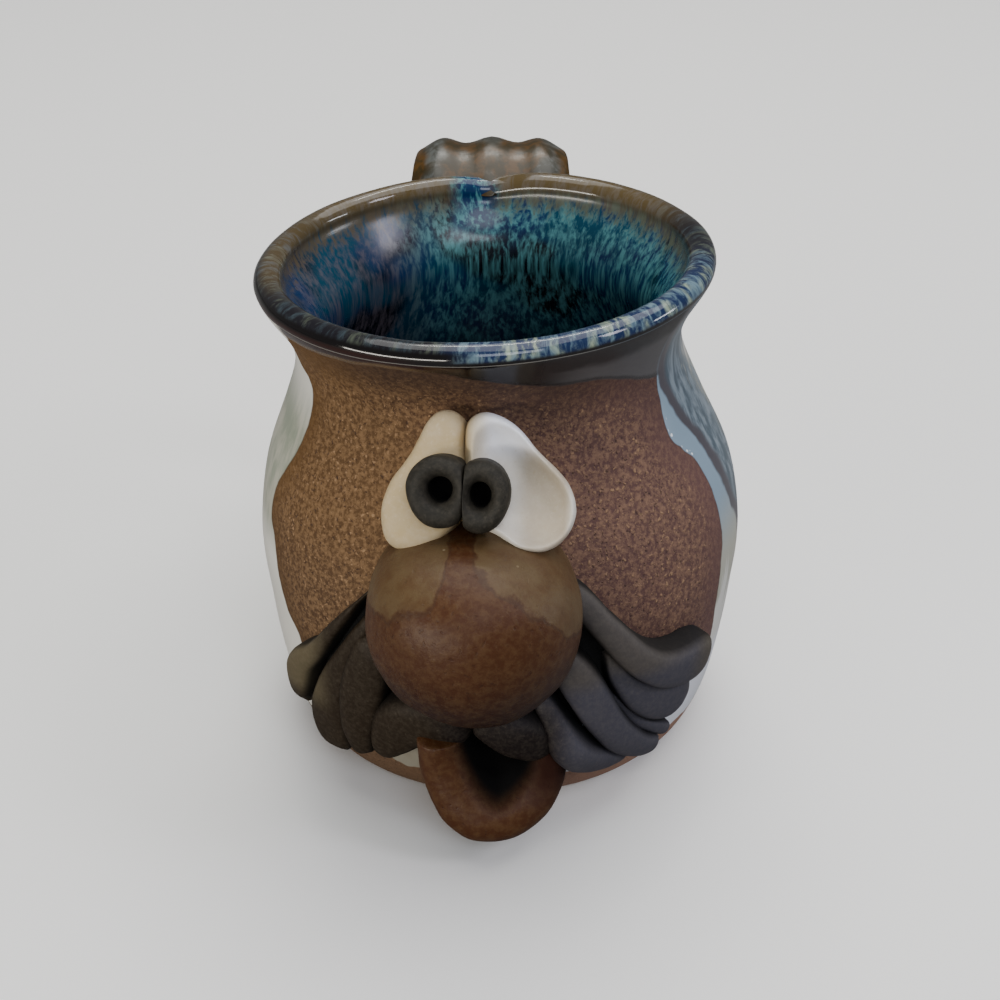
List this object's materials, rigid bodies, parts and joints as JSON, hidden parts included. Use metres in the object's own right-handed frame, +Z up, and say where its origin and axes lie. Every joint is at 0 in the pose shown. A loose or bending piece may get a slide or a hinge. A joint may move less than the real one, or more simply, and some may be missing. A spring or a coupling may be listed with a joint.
{
  "type": "face mug",
  "caption": "Round-bellied stoneware mug with a rolled lip, a ridged strap handle and a comic face of applied clay with big eyes, round nose, drooping moustache and pursed lips.",
  "frame": {"origin": "middle of the foot, on the surface that the mug stands on", "axes": "+Z up the mug's turning axis, -Y out of the face, +Y towards the handle, +X to the viewer's right"},
  "size_m": [0.0998, 0.1512, 0.1085],
  "materials": {
    "stoneware_body": "speckled red-brown stoneware, bare in front, streaky blue and grey-white gloss glaze inside, on the lip and round the back",
    "glazed_handle": "gloss grey-blue glaze breaking to brown on the ridges",
    "brown_slip": "satin brown slip with fine specks",
    "white_clay": "satin off-white clay",
    "charcoal_clay": "matte charcoal clay"
  },
  "bodies": {
    "root": {"body": "stoneware_body", "handle": "glazed_handle", "nose": "brown_slip", "lips": "brown_slip", "eye_left": "white_clay", "eye_right": "white_clay", "iris_left": "charcoal_clay", "iris_right": "charcoal_clay", "moustache_left_1": "charcoal_clay", "moustache_left_2": "charcoal_clay", "moustache_left_3": "charcoal_clay", "moustache_left_4": "charcoal_clay", "moustache_right_1": "charcoal_clay", "moustache_right_2": "charcoal_clay", "moustache_right_3": "charcoal_clay", "moustache_right_4": "charcoal_clay", "moustache_right_5": "charcoal_clay", "moustache_right_6": "charcoal_clay"}
  },
  "joints": []
}
